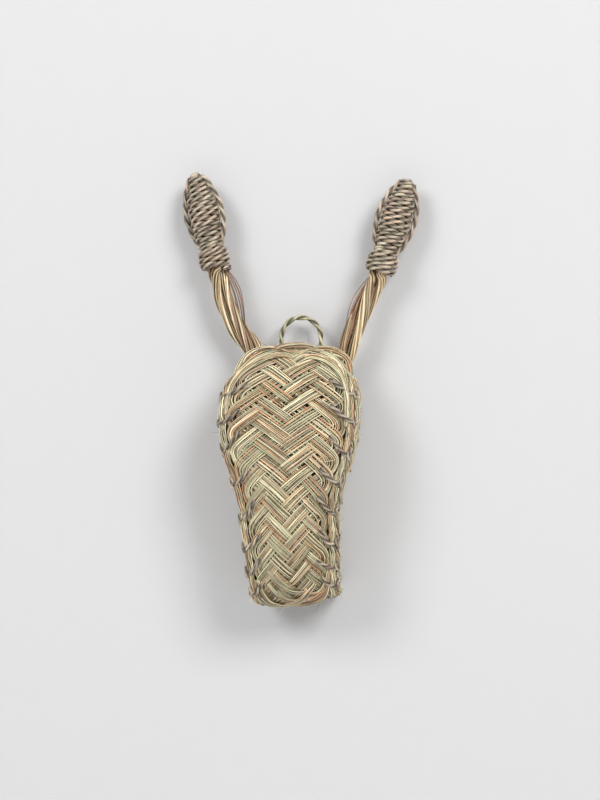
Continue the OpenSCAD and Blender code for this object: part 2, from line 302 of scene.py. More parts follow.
def make_tubes(name, lines, ups, wide, thick, tones, material, body, nodes, sides=8, seed=0,
               painted_side_shade=0.3):
    """One mesh of tubes. lines and ups are (tubes, rings, 3), in millimetres; wide and thick are
    half sizes that broadcast to (tubes, rings, sides); tones broadcasts to (tubes, rings, 3).
    The last argument is how light a tube is painted at its sides and below, as painted shade;
    along its top it is painted lighter than its own tone, as painted light."""
    lines = np.asarray(lines, float)
    count, rings = lines.shape[:2]
    _, across, out = frames(lines, np.broadcast_to(ups, lines.shape))
    angle = np.arange(sides) * 2 * np.pi / sides
    wide = np.broadcast_to(wide, (count, rings, sides))
    thick = np.broadcast_to(thick, (count, rings, sides))
    local = np.stack([np.cos(angle) * wide, np.sin(angle) * thick], -1)
    points = (lines[:, :, None] + local[..., :1] * across[:, :, None]
              + local[..., 1:] * out[:, :, None]).reshape(-1, 3)
    poles = lines[:, [0, -1]].reshape(-1, 3)

    run = np.concatenate([np.zeros((count, 1)),
                          np.cumsum(np.linalg.norm(np.diff(lines, axis=1), axis=2), 1)], 1)
    offset = np.random.default_rng(seed).uniform(0, 4000, (count, 1))
    grain = np.concatenate([local, np.broadcast_to((run + offset)[:, :, None, None],
                                                   (count, rings, sides, 1))], -1).reshape(-1, 3)
    grain_poles = np.zeros((count * 2, 3))
    grain_poles[:, 2] = (run[:, [0, -1]] + offset).ravel()
    tones = np.broadcast_to(tones, (count, rings, 3))
    # Painted shade and painted light: by the angle round it, each tube is painted darker at its
    # sides and below and lighter along its top.
    shade = painted_side_shade + (PAINTED_TOP_LIGHT - painted_side_shade) * np.maximum(np.sin(angle), 0)
    colour = (tones[:, :, None] * shade[:, None]).reshape(-1, 3)
    colour_poles = tones[:, [0, -1]].reshape(-1, 3)

    tube, ring, side = np.meshgrid(np.arange(count), np.arange(rings - 1), np.arange(sides),
                                   indexing="ij")
    after = (side + 1) % sides
    base = (tube * rings + ring) * sides
    quads = np.stack([base + side, base + after, base + sides + after, base + sides + side],
                     -1).reshape(-1, 4)
    tube, side = np.meshgrid(np.arange(count), np.arange(sides), indexing="ij")
    after = (side + 1) % sides
    first = tube * rings * sides
    last = first + (rings - 1) * sides
    pole = len(points) + 2 * tube
    caps = np.concatenate([np.stack([pole, first + after, first + side], -1).reshape(-1, 3),
                           np.stack([pole + 1, last + side, last + after], -1).reshape(-1, 3)])

    mesh = bpy.data.meshes.new(name)
    corners = np.concatenate([quads.ravel(), caps.ravel()])
    starts = np.concatenate([np.arange(len(quads)) * 4,
                             quads.size + np.arange(len(caps)) * 3])
    mesh.vertices.add(len(points) + len(poles))
    mesh.vertices.foreach_set("co", (np.concatenate([points, poles]) * MM).ravel())
    mesh.loops.add(len(corners))
    mesh.loops.foreach_set("vertex_index", corners.astype(np.int32))
    mesh.polygons.add(len(starts))
    mesh.polygons.foreach_set("loop_start", starts.astype(np.int32))
    mesh.update(calc_edges=True)
    mesh.attributes.new("grain", "FLOAT_VECTOR", "POINT").data.foreach_set(
        "vector", np.concatenate([grain, grain_poles]).ravel())
    four = np.ones((len(colour) + len(colour_poles), 4))
    four[:, :3] = np.concatenate([colour, colour_poles])
    mesh.attributes.new("tone", "FLOAT_COLOR", "POINT").data.foreach_set("color", four.ravel())
    mesh.polygons.foreach_set("use_smooth", np.ones(len(starts), bool))
    lay_out(mesh, count, rings, sides)
    mesh.materials.append(material)
    piece = bpy.data.objects.new(name, mesh)
    bpy.context.scene.collection.objects.link(piece)
    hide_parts(*([nodes] if isinstance(nodes, str) else nodes))
    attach(piece, body)


def wander(rng, count, steps, waves, size):
    """Slow random wobble for each of count lines, as a sum of a few sines."""
    t = np.linspace(0, 1, steps)
    total = np.zeros((count, steps))
    for k in range(1, 4):
        phase = rng.uniform(0, 2 * np.pi, (count, 1))
        total += np.sin(2 * np.pi * waves * k * t * rng.uniform(0.7, 1.3, (count, 1)) + phase) / k
    return total * size / 1.5


# ---- Plaits ----

STRAND_H = 1.05    # how far a strand rises over the middle of its plait, and sinks under it
MID = 1.9          # depth of a plait's middle below its outer side
BLADE_R = 0.60     # half the thickness of a blade of dry grass at its thickest
PITCH = 19         # distance along a plait between one strand and the next
RINGS_PER_PITCH = 12
TURN_ROUND = 0.42  # share of the pitch over which a strand's turn at the edge is rounded
FILL = 0.87        # share of its strand's width that the blades take up
EDGE_ROOM = 1.25   # width at each edge, in strands, in which turning blades crowd together
SLIPPED, SLIP = 0.16, 0.6    # share of the blades that lie deeper, and how much deeper


def woven_strand(strands, length, strand, blades, rng):
    """Across (-1 to 1), along and height of the blades of one strand of a flat plait.

    Each strand runs slantwise from edge to edge and turns back, over two and under two of the
    strands that it meets. Its blades lie beside each other, and those on the outside of a turn
    run along the edge for a while.
    """
    steps = int(length / PITCH * RINGS_PER_PITCH)
    along = np.linspace(0, length, steps)
    half = strands / 2

    def swing(v):
        turn = (v / PITCH - strand) % strands
        return np.where(turn < half, 2 * turn - half, 3 * half - 2 * turn)

    across = np.mean([swing(along + o * PITCH) for o in np.linspace(-TURN_ROUND, TURN_ROUND, 9)],
                     axis=0)
    going = np.tanh(4 * np.sin(2 * np.pi * (along / PITCH - strand) / strands))
    shift = ((np.arange(blades) + 0.5) / blades * 2 - 1)[:, None]
    shift = shift * (FILL + wander(rng, 1, steps, length / 90, 0.07))
    shift = shift + rng.normal(0, 0.035, (blades, 1))
    shift = shift + wander(rng, blades, steps, length / 110, 0.065)
    met = np.clip(across + shift / 2, -(strands - 3) / 2, (strands - 3) / 2)
    over = np.tanh(1.9 * np.cos(np.pi / 2 * (met + (strands - 7) / 2))) / np.tanh(1.9)
    height = STRAND_H * over * going + rng.normal(0, 0.16, (blades, 1))
    height = height - SLIP * (rng.uniform(size=(blades, 1)) < SLIPPED)
    height = height + wander(rng, blades, steps, length / 60, 0.13)
    x = across + shift
    free = half - EDGE_ROOM
    past = np.maximum(np.abs(x) - free, 0)
    x = np.sign(x) * (np.minimum(np.abs(x), free) + EDGE_ROOM * np.tanh(past / EDGE_ROOM))
    height = height - 0.25 * past * np.sign(height)
    return x / half, np.broadcast_to(along, x.shape), height


def blade_tones(palette, blades, along, rng):
    """A tone for each blade, which changes where a new blade of grass was laid in."""
    spans = rng.uniform(70, 170, (blades, 1))
    index = ((along + rng.uniform(0, 170, (blades, 1))) / spans).astype(int)
    tones = pick_tones(palette, (blades, index.max() + 1), rng)
    return tones[np.arange(blades)[:, None], index]


def blade_radius(lines):
    """Half the thickness of each blade along its line, less where it has less room."""
    step = np.diff(lines, axis=0)
    along = unit(np.gradient(lines, axis=1))[:-1]
    step = step - np.sum(step * along, -1, keepdims=True) * along
    room = np.linalg.norm(step, axis=-1).mean(0)
    room = np.convolve(np.pad(room, 4, mode="edge"), np.ones(9) / 9, mode="valid")
    return np.clip(0.43 * room, 0.36, BLADE_R)[None, :, None]


def make_plait(name, strands, blades, length, place, seed):
    """place(across, along, height) puts a point of the flat plait on the head."""
    for strand in range(strands):
        rng = np.random.default_rng(seed + strand)
        across, along, height = woven_strand(strands, length, strand, blades, rng)
        lines = place(across, along, height)
        ups = place(across, along, height + 1) - lines
        radius = blade_radius(lines) * rng.uniform(0.78, 1.2, (blades, 1, 1))
        make_tubes(f"{name}_strand_{strand + 1}", lines, ups, radius, radius,
                   blade_tones(PLAIT_TONES, blades, along, rng), PLAIT, "head",
                   name, seed=seed + strand)


def face_plait():
    length, station = by_length(face_yz, 0, FACE_END)
    make_plait("face_plait", 9, 9, length,
               lambda u, v, h: on_face(1.02 * u, station(v), MID - h), 100)


def cheek_place(side, station, across, along, height):
    """A point of a cheek plait, whose edges curl to meet the face's edge and the back's."""
    t = 0.5 - 0.5 * side * across
    point = on_cheek(side, station(along), t, MID - height)
    front_curl = np.clip(1 - t / 0.34, 0, 1) ** 2
    back_curl = np.clip((t - 0.7) / 0.3, 0, 1) ** 2
    point[..., 0] -= side * (5.2 * front_curl - 0.9 * back_curl)
    point[..., 1] += 2.9 * back_curl - 5.0 * front_curl
    return point


def cheek_plaits():
    for side, seed in ((LEFT, 200), (RIGHT, 300)):
        def middle(s, side=side):
            return on_cheek(side, s, 0.5, 0)
        length, station = by_length(middle, CHEEK_START, FACE_END)
        make_plait(f"{SIDE_NAMES[side]}_cheek_plait", 7, 9, length,
                   lambda u, v, h, side=side: cheek_place(side, station, u, v, h), seed)


def back_plait():
    s = np.linspace(CHEEK_START, CHEEK_TURN, 60)
    heights, halves = wall_z(s), wall_half(s)
    length = BACK_TOP_Z - BACK_LOW_Z

    def place(u, v, h):
        z = BACK_TOP_Z - v
        half = np.interp(-z, -heights, halves) * np.clip(0.86 + v / 60, 0, 1)
        return np.stack([-u * half, -PLAIT_T + 1.9 + h * 0.8, z * np.ones_like(u)], -1)

    make_plait("back_plait", 9, 9, length, place, 400)


face_plait()
cheek_plaits()
back_plait()


# ---- Bundles of blades: the crown, the hem and the stalks ----

def along_curve(points, steps):
    """The curve through points, resampled at equal lengths."""
    s = np.linspace(0, len(points) - 1, 400)
    fine = catmull_rom(points, s)
    run = np.concatenate([[0], np.cumsum(np.linalg.norm(np.diff(fine, axis=0), axis=1))])
    at = np.linspace(0, run[-1], steps)
    return np.stack([np.interp(at, run, fine[:, k]) for k in range(3)], -1), run[-1]


GOLDEN_ANGLE = 2.39996    # radians from one blade to the next in a sunflower pattern


def bundle(line, up, radius, blades, turns, rng):
    """Blades packed round a line in a sunflower pattern, which turn round it as a whole."""
    steps = len(line)
    line = line[None]
    _, across, out = frames(line, np.broadcast_to(up, line.shape))
    k = np.arange(blades)[:, None]
    spread = np.sqrt((k + 0.5) / blades)
    t = np.linspace(0, 1, steps)[None]
    angle = k * GOLDEN_ANGLE + 2 * np.pi * turns * t
    angle = angle + wander(rng, blades, steps, 1.5, 0.08)
    spread = spread * (1 + wander(rng, blades, steps, 2, 0.05))
    r = np.broadcast_to(radius, (steps,))[None] * spread
    away = np.cos(angle)[..., None] * across + np.sin(angle)[..., None] * out
    return line + r[..., None] * away, away


TIP_FOOT = {LEFT: np.array([-84.5, -22, 52]), RIGHT: np.array([78.5, -22, 46])}
TIP_TOP = {LEFT: np.array([-106., -20, 147]), RIGHT: np.array([107.5, -20, 140])}
STALK_LINE = {
    LEFT: [(-34, -24, -104), (-34, -24, -76), (-38, -24, -52), (-48, -24, -30), (-62, -23, -8),
           (-76, -22, 20)],
    RIGHT: [(34, -24, -104), (34, -24, -76), (37, -24, -52), (46, -24, -30), (58, -23, -2),
            (68, -22, 23)]}
PLY_R, PLY_LAY, STALK_SPAN = 5.4, 180, 175    # a ply's radius, its lay and the stalk's length
PLY_BLADES = 13
COLLAR_L = 18.6


def tip_axis(side):
    return unit(TIP_TOP[side] - TIP_FOOT[side])


def stalks():
    steps = 70
    for side in (LEFT, RIGHT):
        axis, foot = tip_axis(side), TIP_FOOT[side]
        points = STALK_LINE[side] + [foot - 8 * axis, foot, foot + (COLLAR_L - 1) * axis]
        s = np.linspace(0, len(points) - 1, steps)
        line = catmull_rom(points, s)
        up = np.array([0, -1, 0])
        _, across, out = (v[0] for v in frames(line[None], np.broadcast_to(up, (1, steps, 3))))
        t = np.linspace(0, 1, steps)
        taper = 1 - 0.18 * t ** 2
        for ply in (1, 2, 3):
            rng = np.random.default_rng(500 + 10 * side + ply)
            turn = 2 * np.pi * (ply / 3 + side * STALK_SPAN / PLY_LAY * t)
            offset = (PLY_R + 0.4) * 2 / math.sqrt(3) * taper * 0.96
            middle = (line + (offset * np.cos(turn))[:, None] * across
                      + (offset * np.sin(turn))[:, None] * out)
            lines, away = bundle(middle, out, (PLY_R - 1.1) * taper, PLY_BLADES, side * 1.5, rng)
            radius = 1.16 * rng.uniform(0.75, 1.2, (PLY_BLADES, 1, 1)) * taper[:, None]
            tones = blade_tones(STALK_TONES, PLY_BLADES, t[None] * 200, rng)
            make_tubes(f"{SIDE_NAMES[side]}_stalk_bundle_{ply}", lines, away, radius, radius,
                       tones, STALK, "head",
                       f"{SIDE_NAMES[side]}_stalk_ply_{ply}", seed=520 + 10 * side + ply)


stalks()


def crown_line(u, depth):
    """Point of the face's top edge, u from -1 to 1 across."""
    return on_face(0.97 * u, 0.75 + 0.95 * u * u, depth)


def sheaf(name, points, up, blades, wide, thick, turns, nodes, seed, steps=48):
    """A handful of blades along a curve, gathered at both ends; wide and thick are half sizes."""
    rng = np.random.default_rng(seed)
    line, length = along_curve(points, steps)
    _, across, out = frames(line[None], np.broadcast_to(up, (1, steps, 3)))
    t = np.linspace(0, 1, steps)
    gather = 0.55 + 0.45 * np.sin(np.pi * t) ** 0.6
    k = np.arange(blades)[:, None]
    spread = np.sqrt((k + 0.5) / blades) * (1 + wander(rng, blades, steps, 1.5, 0.15))
    angle = k * GOLDEN_ANGLE + 2 * np.pi * turns * t + wander(rng, blades, steps, 1, 0.2)
    a, b = spread * gather * np.cos(angle) * wide, spread * gather * np.sin(angle) * thick
    lines = line[None] + a[..., None] * across + b[..., None] * out
    away = 0.25 * a[..., None] * across + (b + 0.3 * thick)[..., None] * out
    radius = 0.58 * rng.uniform(0.8, 1.2, (blades, 1, 1))
    tones = blade_tones(PLAIT_TONES, blades, t[None] * length, rng)
    make_tubes(name, lines, away, radius, radius, tones, PLAIT, "head", nodes,
               seed=seed)


def face_arc(arc):
    """The points of an arc that is given as across, station and depth on the face."""
    return np.array([on_face(np.array(u), np.array(s), np.array(d)) for u, s, d in arc])


# Handfuls of blades that are turned down over the crown, each as across, station and depth.
CROWN_ARCS = (
    ((-0.99, 3.3, -0.2), (-0.95, 2.7, -2.0), (-0.80, 2.0, -3.0), (-0.50, 1.5, -3.4),
     (-0.15, 1.3, -2.6), (0.10, 1.5, 0.8)),
    ((-1.00, 4.0, -0.2), (-0.98, 3.3, -2.0), (-0.86, 2.6, -2.6), (-0.55, 2.05, -2.6),
     (-0.20, 1.95, -1.4), (-0.02, 2.1, 1.0)),
    ((0.98, 3.5, -0.2), (0.96, 2.9, -2.0), (0.84, 2.2, -3.0), (0.56, 1.65, -3.4),
     (0.24, 1.4, -2.8), (-0.02, 1.4, 0.8)),
    ((1.00, 4.3, -0.2), (0.99, 3.6, -2.0), (0.92, 2.9, -2.6), (0.68, 2.3, -2.6),
     (0.38, 2.0, -1.6), (0.18, 2.0, 1.0)))


def crown_roll():
    """Three handfuls that run along the top edge, and the four that are turned down over it."""
    u = np.linspace(-1, 1, 9)
    for k, (start, end, depth) in enumerate(((-1, 0.25, -2.2), (-0.45, 0.5, -3.4),
                                             (-0.2, 1, -2.2))):
        along = start + (end - start) * (u + 1) / 2
        line = crown_line(along, depth - 0.9 * np.sin(np.pi * (u + 1) / 2))
        sheaf(f"crown_roll_bundle_{k + 1}", line, (0, -1, 1), 16, 3.0, 3.0, 0.8,
              ["crown_roll"], 600 + k)
    for k, arc in enumerate(CROWN_ARCS):
        sheaf(f"crown_arc_{k + 1}", face_arc(arc), (0, -1, 0.6), 13, 3.3, 1.5, 0.25,
              ["crown_roll"], 620 + k)


def crown_sides():
    """Handfuls that come up from each cheek, over the crown's corner."""
    for side in (LEFT, RIGHT):
        for k, (lower, t) in enumerate(((4.6, 0.10), (4.0, 0.34))):
            line = np.array([on_cheek(side, lower, t, 2.5), on_cheek(side, lower - 0.6, t, 0.8),
                             on_cheek(side, 2.95, t, 1.6) + [-side * 3, 0, 0],
                             on_face(side * 0.9, 2.5 - 0.35 * k, -1.5),
                             on_face(side * 0.72, 2.1 - 0.35 * k, 0.5)])
            sheaf(f"{SIDE_NAMES[side]}_crown_side_{k + 1}", line, (side, -0.3, 0.5), 11, 3.4, 1.3,
                  0.2, ["crown_roll"], 670 + 5 * side + k)
        shoulder = [on_cheek(side, 3.6, 0.16, 5.0), (side * 56, -47, -45), (side * 47, -45, -34),
                    (side * 34, -45, -29), (side * 20, -45, -29.5), (side * 6, -46, -35)]
        shift = 0 if side == LEFT else -5
        line = np.array([np.array(point) + [shift, 0, 0] for point in shoulder])
        sheaf(f"{SIDE_NAMES[side]}_crown_shoulder", line, (0, -1, 0.8), 12, 3.0, 2.2, 0.5,
              ["crown_roll"], 690 + side)


def crown_top():
    """The handful that arches over the middle, and the blades that bind the roll."""
    top = [(-30, -45, -34), (-18, -45, -27.5), (-4, -45, -25.5), (10, -45, -26.5), (24, -45, -33)]
    sheaf("crown_top_arch", top, (0, -1, 0.8), 14, 2.6, 2.6, 0.4, ["crown_roll"], 695)
    for k, u in enumerate((-0.8, -0.4, 0, 0.4, 0.8)):
        a = np.linspace(0, 2 * np.pi, 12)
        ring = np.stack([3.5 * np.sin(a / 2 - 0.7), 5.4 * np.cos(a), 5.4 * np.sin(a)], -1)
        sheaf(f"crown_binding_{k + 1}", crown_line(np.array(u), -3.0) - [0, 0, 1.5] + ring,
              (0, 0, 1), 4, 1.2, 0.7, 0.3, ["crown_stitches"], 640 + k)


HEM_Y, HEM_Z, HEM_R, HEM_HALF_L = -14.5, -42, 4, 28.5


def back_hem():
    rng = np.random.default_rng(610)
    x = np.linspace(-HEM_HALF_L, HEM_HALF_L, 40)
    line = np.stack([x, np.full(40, HEM_Y), np.full(40, HEM_Z)], -1)
    blades = 30
    lines, away = bundle(line, (0, 0, 1), HEM_R - 0.55, blades, 0.6, rng)
    radius = 0.56 * rng.uniform(0.85, 1.15, (blades, 1, 1))
    make_tubes("back_hem_bundle", lines, away, radius, radius,
               pick_tones(PLAIT_TONES, (blades, 1), rng), PLAIT, "head",
               "back_hem", seed=610)


# Handfuls of blades that bend along under the muzzle, where the plait is folded.
CHIN_ARCS = (
    ((0.2, 9.3, 0.8), (0.5, 9.2, -0.9), (0.8, 8.85, -1.2), (1.0, 8.35, 0.4)),
    ((0.3, 8.6, 0.8), (0.55, 8.85, -0.8), (0.8, 8.7, -1.2), (0.98, 8.2, -0.8), (1.0, 7.7, 0.6)),
    ((-0.62, 7.85, 0.9), (-0.42, 8.2, -0.5), (-0.12, 8.55, -1.0), (0.2, 8.7, -0.9),
     (0.42, 8.7, 0.9)),
    ((-0.66, 8.3, 0.9), (-0.45, 8.7, -0.7), (-0.15, 9.05, -1.2), (0.25, 9.15, -1.1),
     (0.55, 9.05, 0.9)),
    ((0.62, 8.45, 0.9), (0.45, 8.7, -1.2), (0.2, 9.0, -2.0), (-0.08, 9.25, -1.6),
     (-0.3, 9.5, 0.8)),
    ((-1.0, 8.2, 0.4), (-0.98, 8.8, -0.9), (-0.78, 9.3, -1.4), (-0.35, 9.55, -1.3),
     (0.15, 9.65, 0.6)),
    ((-0.92, 8.2, 0.8), (-0.84, 8.6, -1.1), (-0.7, 9.05, -1.9), (-0.5, 9.5, -0.9),
     (-0.35, 9.8, 0.6)),
    ((-0.3, 9.5, 0.6), (0.1, 9.75, -1.2), (0.5, 9.7, -1.2), (0.85, 9.25, -1.0), (1.0, 8.6, 0.2)))


def chin_rim():
    for k, arc in enumerate(CHIN_ARCS):
        sheaf(f"chin_rim_{k + 1}", face_arc(arc), (0, -0.5, -1), 9, 3.2, 0.9, 0.2,
              ["face_plait"], 660 + k)


STITCHES, STITCH_FIRST, STITCH_LAST = 8, 3.4, 8.6


def seam_bundles():
    """Blades of each cheek that fill the front seam and swell between one stitch and the next."""
    gap = (STITCH_LAST - STITCH_FIRST) / (STITCHES - 1)
    for side in (LEFT, RIGHT):
        who = SIDE_NAMES[side]
        for k in range(STITCHES + 1):
            end = STITCH_FIRST + k * gap + 0.12
            run = np.linspace(max(end - gap - 0.24, CHEEK_START), end, 5)
            line = on_cheek(side, run, 0.02, 5.8)
            swell = np.sin(np.pi * np.linspace(0, 1, 5))
            line[:, 0] += side * 1.8 * swell
            line[:, 1] -= 1.2 * swell - 0.4
            sheaf(f"{who}_seam_bundle_{k + 1}", line, (side * 0.45, -1, 0), 12, 3.7, 1.7, 0.12,
                  [f"{who}_cheek_plait"], 760 + 12 * side + k, steps=26)


crown_roll()
crown_sides()
crown_top()
chin_rim()
back_hem()
seam_bundles()


# ---- Two-ply cord ----

CORD_SIDES = 12


def cord_plies(path, ups, cord_r, lay, phase):
    """Centre lines of the two plies of a cord that follows path."""
    _, across, out = (v[0] for v in frames(path[None], np.broadcast_to(ups, path.shape)[None]))
    run = np.concatenate([[0], np.cumsum(np.linalg.norm(np.diff(path, axis=0), axis=1))])
    plies = []
    for start in (0, np.pi):
        turn = start + phase + 2 * np.pi * run / lay
        plies.append(path + cord_r * 0.46 * (np.cos(turn)[:, None] * across
                                             + np.sin(turn)[:, None] * out))
    plies = np.array(plies)
    return plies, plies - path, run


def make_cord(name, path, ups, cord_r, palette, material, body, nodes, seed, lay=None):
    """A two-ply cord of beaten grass, its plies ribbed by their fibres."""
    rng = np.random.default_rng(seed)
    lay = lay or cord_r * 10
    plies, outs, run = cord_plies(path, ups, cord_r, lay, rng.uniform(0, 6))
    angle = np.arange(CORD_SIDES) * 2 * np.pi / CORD_SIDES
    ply_r = cord_r * 0.62
    ribs = np.zeros((2, len(path), CORD_SIDES))
    for lobes, length, size in ((3, 9, 0.13), (5, 6, 0.10), (2, 23, 0.07)):
        phase = rng.uniform(0, 6, (2, 1, 1))
        ribs += size * np.sin(lobes * angle + 2 * np.pi * run[None, :, None] / length + phase)
    swell = 1 + wander(rng, 2, len(path), run[-1] / 18, 0.05)[..., None]
    radius = ply_r * (1 + ribs) * swell
    spans = (run / 14 + rng.uniform(0, 1, (2, 1))).astype(int)
    tones = pick_tones(palette, (2, spans.max() + 1), rng)[np.arange(2)[:, None], spans]
    # Painted shade: the plies are painted darker at their sides and below, and lighter along their
    # tops.
    make_tubes(name, plies, outs, radius, radius, tones, material, body, nodes,
               sides=CORD_SIDES, seed=seed, painted_side_shade=0.34)


# ---- Tips ----

WIND_R, WIND_L, WIND_MAX, WIND_ROWS = 2.3, 67, 14.7, 15
WIND_START = COLLAR_L + 3
WIND_TURNS, COLLAR_TURNS, KNOB_TURNS = WIND_ROWS + 0.3, 4.6, 2.6


def wind_out(q):
    """Outer radius of the winding at a share q of its length."""
    low = np.minimum(q, 0.52) / 0.52
    high = (np.maximum(q, 0.52) - 0.52) / 0.48
    return WIND_MAX - (WIND_MAX - 11.4) * (1 - low) ** 2 - (WIND_MAX - 6.6) * high ** 2


def tip_place(side, local):
    """Points in a tip's own frame, Z along its axis, put in their place."""
    axis = tip_axis(side)
    tilt, turn = math.acos(axis[2]), math.atan2(axis[1], axis[0])
    ct, st, cp, sp = math.cos(tilt), math.sin(tilt), math.cos(turn), math.sin(turn)
    matrix = np.array([[cp * ct, -sp, cp * st], [sp * ct, cp, sp * st], [-st, 0, ct]])
    return local @ matrix.T


def wound_cord(side, name, radius, height, turns, seed, nodes, rng):
    """A cord wound round a tip: radius and height are functions of the share of its turns."""
    steps = int(turns * 64)
    q = np.linspace(0, 1, steps)
    angle = -2 * np.pi * turns * q + rng.uniform(0, 6)
    r = radius(q) + wander(rng, 1, steps, turns * 0.8, 0.35)[0]
    wobble = wander(rng, 1, steps, turns * 1.3, 0.45)[0]
    local = np.stack([r * np.cos(angle), r * np.sin(angle), height(q) + wobble], -1)
    up = np.stack([np.cos(angle), np.sin(angle), np.zeros(steps)], -1)
    path = TIP_FOOT[side] + tip_place(side, local)
    make_cord(name, path, tip_place(side, up), WIND_R + 0.25, TIP_TONES, TIP, "head",
              nodes, seed, lay=21)


def climb(q, turns):
    """Share of its height that a winding has reached; its first and last 0.9 turn lie flat."""
    return np.clip((q * turns - 0.9) / (turns - 1.8), 0, 1)


def tip_core(side):
    """The stiff blades inside a spindle, seen through the gaps in its winding."""
    steps, blades = 30, 26
    rng = np.random.default_rng(750 + side)
    q = np.linspace(0, 1, steps)
    line = TIP_FOOT[side] + (WIND_START + (WIND_L - 1) * q)[:, None] * tip_axis(side)
    lines, away = bundle(line, (0, -1, 0), wind_out(q) - 2 * WIND_R - 0.8, blades, 0.3, rng)
    radius = 1.15 * rng.uniform(0.85, 1.15, (blades, 1, 1))
    # Painted shade: the core's blades are painted at half their tone, for the shade inside the
    # winding.
    tones = 0.5 * blade_tones(STALK_TONES, blades, q[None] * WIND_L, rng)
    make_tubes(f"{SIDE_NAMES[side]}_tip_core_bundle", lines, away, radius, radius, tones, STALK,
               "head", f"{SIDE_NAMES[side]}_tip_core", seed=752 + side)


def tips():
    for side in (LEFT, RIGHT):
        who = SIDE_NAMES[side]
        rng = np.random.default_rng(700 + side)
        wound_cord(side, f"{who}_tip_winding_cord",
                   lambda q: wind_out(climb(q, WIND_TURNS)) + 0.7 - WIND_R,
                   lambda q: WIND_START - 0.6 + (WIND_L + 0.6) * climb(q, WIND_TURNS),
                   WIND_TURNS, 710 + side, f"{who}_tip_winding", rng)
        wound_cord(side, f"{who}_tip_collar_cord", lambda q: 11.5 + 2.1 * np.sin(np.pi * q),
                   lambda q: WIND_R + (COLLAR_L - 2 * WIND_R) * climb(q, COLLAR_TURNS),
                   COLLAR_TURNS, 720 + side, f"{who}_tip_collar", rng)
        tip_core(side)
        top = WIND_START + WIND_L
        wound_cord(side, f"{who}_tip_knob_cord", lambda q: 5.0 * np.cos(q * 1.4),
                   lambda q: top + 2.6 + 2.6 * q, KNOB_TURNS, 730 + side, f"{who}_tip_knob", rng)
        bow_r, reach, middle = 65, 18.4, WIND_START + 32
        a = np.radians(np.linspace(-31, 36, 60))
        for number, turn in enumerate((1, -1), 1):
            local = np.stack([turn * (reach - bow_r + bow_r * np.cos(a)), np.zeros(60),
                              middle + bow_r * np.sin(a)], -1)
            path = TIP_FOOT[side] + tip_place(side, local)
            make_cord(f"{who}_tip_side_cord_{number}", path, (0, -1, 0), WIND_R + 0.4, TIP_TONES,
                      TIP, "head", f"{who}_tip_side_cords",
                      740 + side + number * 3, lay=26)


tips()


# ---- Sewing ----

def front_stitches():
    """Sewing cord that comes up through the face, slants down over the seam and is knotted."""
    for side in (LEFT, RIGHT):
        who = SIDE_NAMES[side]
        for k in range(STITCHES):
            rng = np.random.default_rng(800 + 20 * side + k)
            share = k / (STITCHES - 1)
            s = STITCH_FIRST + (STITCH_LAST - STITCH_FIRST) * share + rng.normal(0, 0.04)
            reach = rng.uniform(0.22, 0.36) * (1 if k < STITCHES - 1 else 0.6)
            rise = rng.uniform(0.26, 0.44)
            knot = rng.uniform(0.05, 0.10)
            # From inside, slantwise down over the seam, and then the knot at the cheek's edge.
            points = [on_face(side * (1 - reach), s - rise, 3.4),
                      on_face(side * (1 - reach * 0.85), s - rise * 0.85, -0.7),
                      on_face(side * (1 - reach * 0.4), s - rise * 0.4, -1.7),
                      on_face(side, s, -1.6) + [side * 1.5, 0, 0],
                      on_cheek(side, s + knot, 0.04, 1.4),
                      on_cheek(side, s + 2 * knot, 0.09, 1.8),
                      on_cheek(side, s + 1.6 * knot, 0.03, 0.9),
                      on_cheek(side, s - 0.4 * knot, 0.02, 0.7),
                      on_cheek(side, s - knot, 0.07, 1.2),
                      on_cheek(side, s, 0.12, 1.6),
                      on_cheek(side, s + knot, 0.14, 5.2)]
            path = along_curve(points, 90)[0]
            up = np.broadcast_to([side * 0.5, -1, 0.2], path.shape)
            make_cord(f"{who}_front_stitch_{k + 1}", path, up, rng.uniform(1.8, 2.2),
                      STITCH_TONES, CORD, "head", f"{who}_front_stitches",
                      840 + 20 * side + k)


def ring_path(centre, big, sweep=2 * np.pi, steps=40, plane="yz", drift=0.0):
    """A ring of cord round centre, in the YZ or the XY plane, that drifts sideways as it goes."""
    a = np.linspace(0, sweep, steps)
    move = np.linspace(-drift / 2, drift / 2, steps)
    zero = np.zeros(steps)
    if plane == "yz":
        ring = np.stack([move, big * np.cos(a), big * np.sin(a)], -1)
        up = np.stack([zero, np.cos(a), np.sin(a)], -1)
    else:
        ring = np.stack([big * np.cos(a), big * np.sin(a), move], -1)
        up = np.stack([np.cos(a), np.sin(a), zero], -1)
    return np.asarray(centre) + ring, up


def sewn_ring(name, node, seed, radius, **ring):
    path, up = ring_path(**ring)
    make_cord(name, path, up, radius, STITCH_TONES, CORD, "head", node, seed)


def other_stitches():
    for side in (LEFT, RIGHT):
        who = SIDE_NAMES[side]
        for k in range(8):
            s = np.array(3 + (8.7 - 3) * k / 7)
            centre = [side * (wall_half(s) - 5.6), -8.4, wall_z(s)]
            sewn_ring(f"{who}_back_stitch_{k + 1}", f"{who}_back_stitches", 900 + 10 * side + k,
                      1.7, centre=centre, big=5.7, plane="xy", drift=3)
    for k, x in enumerate((-26, -9, 9, 26)):
        sewn_ring(f"hem_stitch_{k + 1}", "hem_stitches", 930 + k, 1.6,
                  centre=[x, HEM_Y + 5.5, HEM_Z - 2.5], big=6.6, drift=2)
    for k, x in enumerate((-24, -8, 8, 24)):
        centre = [x, -9.2, -270 + CHIN_DROP / 2 * x / 32]
        sewn_ring(f"chin_stitch_{k + 1}", "chin_stitches", 950 + k, 1.6, centre=centre, big=6.5,
                  drift=2)


def collar_knot():
    """The end of the left collar's cord, turned twice round the blades that have come loose."""
    path, up = ring_path((-72.5, -27, 52), 3.0, sweep=4.2 * np.pi, steps=70, plane="xy", drift=4.2)
    make_cord("left_collar_knot", path, up, 1.4, STITCH_TONES, CORD, "head",
              "left_tip_collar", 780)


